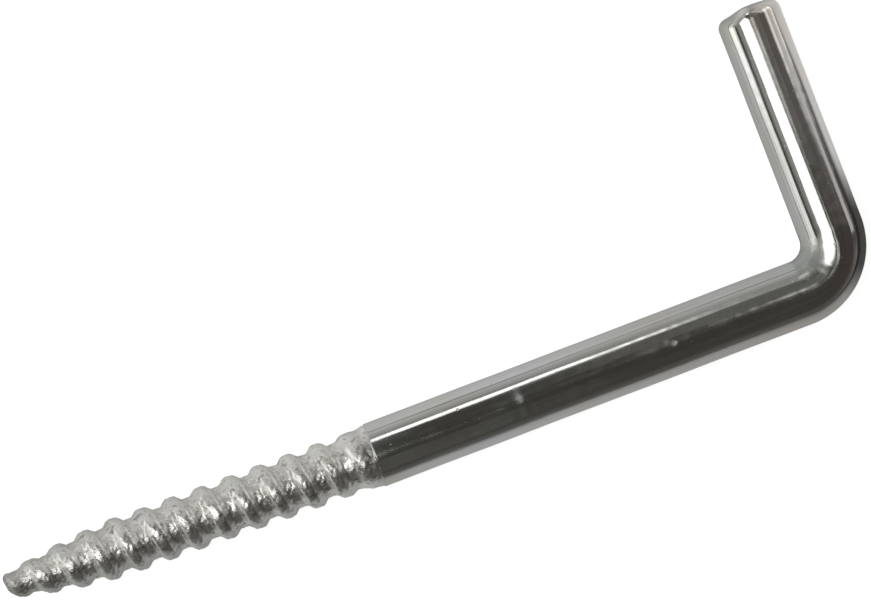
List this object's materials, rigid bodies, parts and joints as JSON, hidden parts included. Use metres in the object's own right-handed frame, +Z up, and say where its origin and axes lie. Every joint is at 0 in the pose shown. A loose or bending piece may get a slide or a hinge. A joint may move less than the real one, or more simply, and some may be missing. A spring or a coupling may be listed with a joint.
{
  "type": "screw hook",
  "caption": "Square-bend screw hook: a round steel rod with a coarse wood thread that tapers to a blunt tip, bent at a right angle into a short straight arm with a square-cut end.",
  "frame": {"origin": "centre of the object's box, on the plane that it lies on", "axes": "+X along the shank from the thread's tip to the bend, +Y the way the arm points, +Z up from the plane that both lie on"},
  "size_m": [0.08, 0.0274, 0.0057],
  "materials": {
    "zinc_plated_steel": "bright zinc plating over drawn steel rod, lightly scuffed, with fine lines along the rod"
  },
  "bodies": {
    "root": {"screw_hook": "zinc_plated_steel"}
  },
  "joints": []
}
